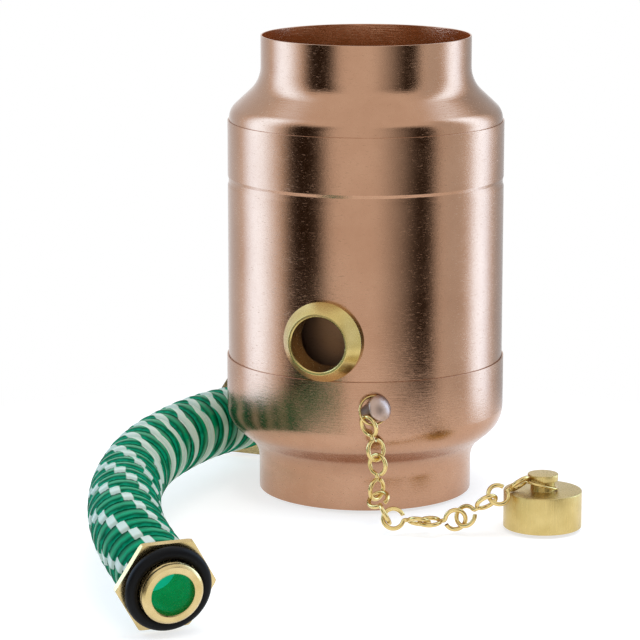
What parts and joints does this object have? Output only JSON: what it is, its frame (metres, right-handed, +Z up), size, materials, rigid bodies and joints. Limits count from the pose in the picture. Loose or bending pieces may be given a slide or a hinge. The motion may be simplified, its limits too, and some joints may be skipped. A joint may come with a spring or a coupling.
{
  "type": "rainwater diverter",
  "caption": "Copper downpipe diverter body with reduced necks, a threaded side outlet, its plug cap on a chain, and a flexible hose with a threaded fitting at each end.",
  "frame": {"origin": "centre of the lower neck's rim, which is the body's base and the floor it stands on", "axes": "+Z up along the body's axis to the upper neck; -Y along the outlet's axis, away from the body; +X to the side where the plug cap lies"},
  "size_m": [0.2166, 0.3333, 0.219],
  "materials": {
    "copper": "satin",
    "brass": "satin",
    "rubber": "satin",
    "hose": "gloss"
  },
  "bodies": {
    "root": {"upper_reducer": "copper", "main_tube": "copper", "lower_reducer": "copper", "overflow_pipe": "copper", "outlet_bush": "brass", "chain_stud": "copper", "stud_ring": "brass", "cap_ring": "brass", "plug_cap": "brass", "cap_seal": "rubber", "hose": "hose", "near_fitting": "brass", "near_fitting_seal": "rubber", "far_fitting": "brass", "far_fitting_seal": "rubber", "chain_link_1": "brass", "chain_link_2": "brass", "chain_link_3": "brass", "chain_link_4": "brass", "chain_link_5": "brass", "chain_link_6": "brass", "chain_link_7": "brass"}
  },
  "joints": []
}
